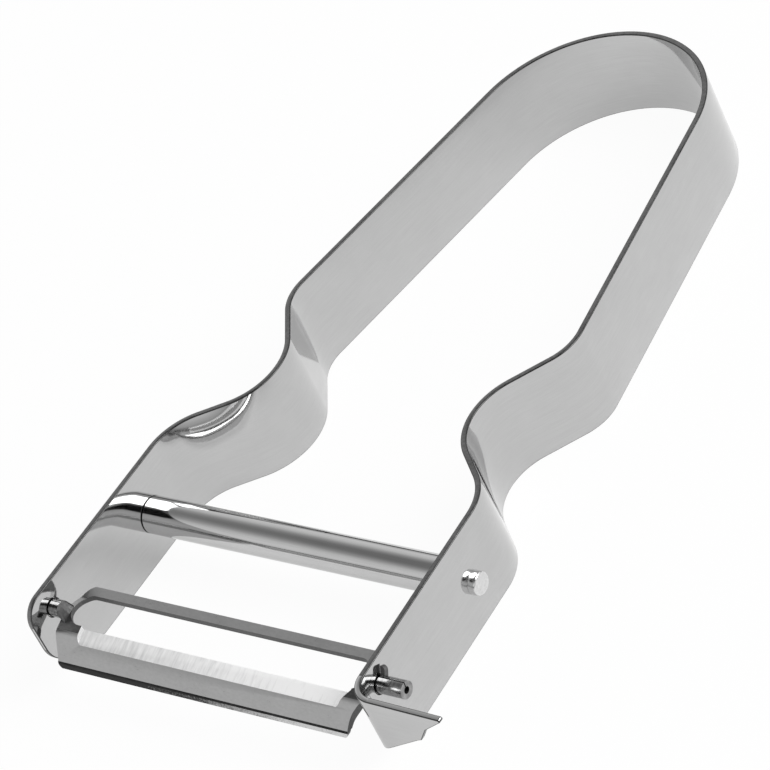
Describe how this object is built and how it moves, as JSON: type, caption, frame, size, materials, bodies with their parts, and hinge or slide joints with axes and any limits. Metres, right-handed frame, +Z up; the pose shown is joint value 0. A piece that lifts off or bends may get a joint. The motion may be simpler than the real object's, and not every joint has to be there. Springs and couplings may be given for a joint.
{
  "type": "vegetable peeler",
  "caption": "All-metal vegetable peeler: a bent strip loop handle with a crossbar and a slotted swivelling blade across its open end, and a pointed eye-remover on one arm.",
  "frame": {"origin": "on the lower edge of the handle's strip, at the middle of the loop's closed end", "axes": "+Y away from the blade along the handle's middle line (the blade lies towards -Y), +Z up across the strip from its lower to its upper edge, +X towards the arm with the pointed flange"},
  "size_m": [0.0669, 0.1108, 0.0127],
  "materials": {
    "polished_strip": "polished stainless steel",
    "polished_bar": "polished stainless steel",
    "blade_steel": "pressed and ground stainless steel"
  },
  "bodies": {
    "frame": {"handle_strap": "polished_strip", "crossbar_sleeve": "polished_bar", "crossbar_rivet": "polished_bar"},
    "blade": {"swivel_blade": "blade_steel"}
  },
  "joints": [
    {"name": "blade_swivel", "type": "hinge", "parent": "frame", "child": "blade", "pos_m": [0, -0.105, 0.00955], "axis": [0.9998, 0.0175, 0], "continuous": true}
  ]
}
